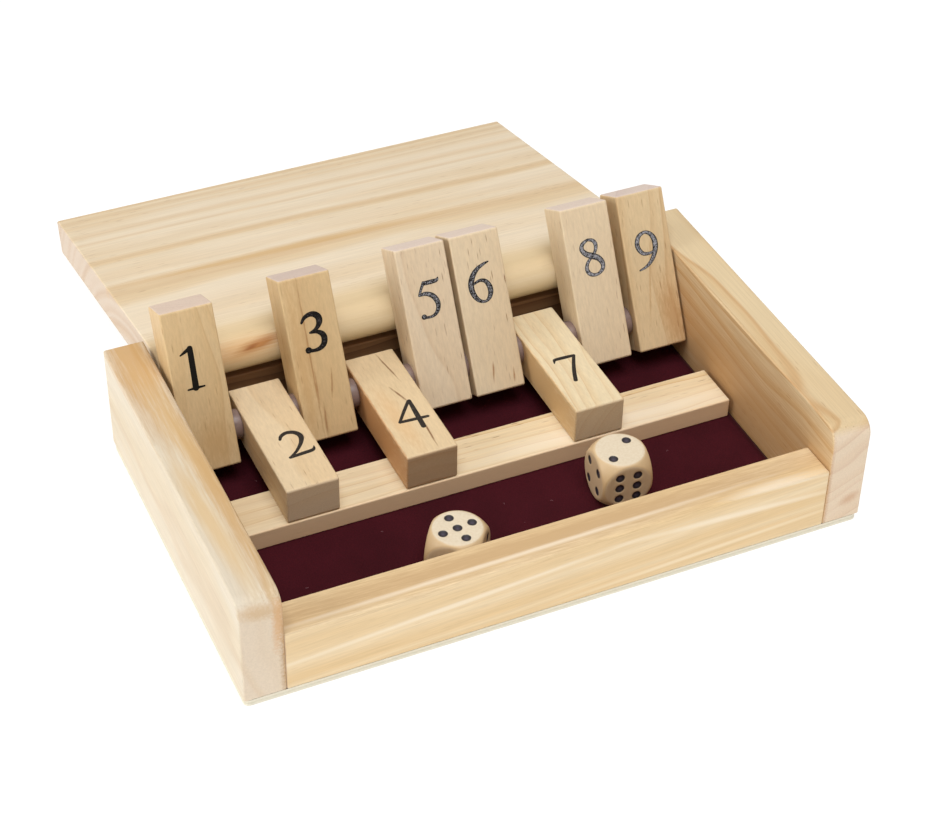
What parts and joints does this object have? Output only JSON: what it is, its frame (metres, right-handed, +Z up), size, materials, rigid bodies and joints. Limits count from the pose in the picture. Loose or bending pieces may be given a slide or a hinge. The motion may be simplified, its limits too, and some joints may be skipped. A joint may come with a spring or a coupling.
{
  "type": "shut the box game",
  "caption": "Small pine dice game box with flip-down number tiles on a rod, felted tray, pinned fold-back lid and two wooden dice.",
  "frame": {"origin": "centre of the box's underside, on the surface the box stands on", "axes": "+X to the right along the row of tiles, +Y to the back where the lid folds out, +Z up"},
  "size_m": [0.168, 0.1975, 0.0496],
  "materials": {
    "box_pine": "sanded bare pine, matte",
    "lid_pine": "sanded bare pine with wide grain, matte",
    "tile_pine": "sanded bare pine with stamped black numbers, matte",
    "base_board": "thin pale board, matte",
    "rod_wood": "smooth dowel, matte",
    "felt": "short dark maroon felt",
    "spacer": "pale smooth washer, satin",
    "pin_steel": "plain wire pin",
    "die_wood": "tumbled pale wood with black pips, satin"
  },
  "bodies": {
    "box": {"base_panel": "base_board", "felt_sheet": "felt", "left_wall": "box_pine", "right_wall": "box_pine", "front_rail": "box_pine", "back_rail": "box_pine", "rest_rail": "box_pine", "tile_rod": "rod_wood", "tile_spacers": "spacer"},
    "lid": {"lid": "lid_pine", "lid_pin_left": "pin_steel", "lid_pin_right": "pin_steel"},
    "tile_1": {"tile_1": "tile_pine"},
    "tile_2": {"tile_2": "tile_pine"},
    "tile_3": {"tile_3": "tile_pine"},
    "tile_4": {"tile_4": "tile_pine"},
    "tile_5": {"tile_5": "tile_pine"},
    "tile_6": {"tile_6": "tile_pine"},
    "tile_7": {"tile_7": "tile_pine"},
    "tile_8": {"tile_8": "tile_pine"},
    "tile_9": {"tile_9": "tile_pine"},
    "die_left": {"die_left": "die_wood"},
    "die_right": {"die_right": "die_wood"}
  },
  "joints": [
    {"name": "lid_hinge", "type": "hinge", "parent": "box", "child": "lid", "pos_m": [0, 0.04755, 0.02535], "axis": [1, 0, 0], "range_deg": [0, 74]},
    {"name": "tile_1_flip", "type": "hinge", "parent": "box", "child": "tile_1", "pos_m": [0, 0.03085, 0.01475], "axis": [1, 0, 0], "range_deg": [-6, 111.7]},
    {"name": "tile_2_flip", "type": "hinge", "parent": "box", "child": "tile_2", "pos_m": [0, 0.03085, 0.01475], "axis": [-1, 0, 0], "range_deg": [0, 117.7]},
    {"name": "tile_3_flip", "type": "hinge", "parent": "box", "child": "tile_3", "pos_m": [0, 0.03085, 0.01475], "axis": [1, 0, 0], "range_deg": [-2, 115.7]},
    {"name": "tile_4_flip", "type": "hinge", "parent": "box", "child": "tile_4", "pos_m": [0, 0.03085, 0.01475], "axis": [-1, 0, 0], "range_deg": [0, 117.7]},
    {"name": "tile_5_flip", "type": "hinge", "parent": "box", "child": "tile_5", "pos_m": [0, 0.03085, 0.01475], "axis": [1, 0, 0], "range_deg": [0, 117.7]},
    {"name": "tile_6_flip", "type": "hinge", "parent": "box", "child": "tile_6", "pos_m": [0, 0.03085, 0.01475], "axis": [1, 0, 0], "range_deg": [0, 117.7]},
    {"name": "tile_7_flip", "type": "hinge", "parent": "box", "child": "tile_7", "pos_m": [0, 0.03085, 0.01475], "axis": [-1, 0, 0], "range_deg": [0, 117.7]},
    {"name": "tile_8_flip", "type": "hinge", "parent": "box", "child": "tile_8", "pos_m": [0, 0.03085, 0.01475], "axis": [1, 0, 0], "range_deg": [0, 117.7]},
    {"name": "tile_9_flip", "type": "hinge", "parent": "box", "child": "tile_9", "pos_m": [0, 0.03085, 0.01475], "axis": [1, 0, 0], "range_deg": [0, 117.7]},
    {"name": "die_left_lift", "type": "slide", "parent": "box", "child": "die_left", "axis": [0, 0, 1], "range_m": [0, 0.05]},
    {"name": "die_right_lift", "type": "slide", "parent": "box", "child": "die_right", "axis": [0, 0, 1], "range_m": [0, 0.05]}
  ]
}
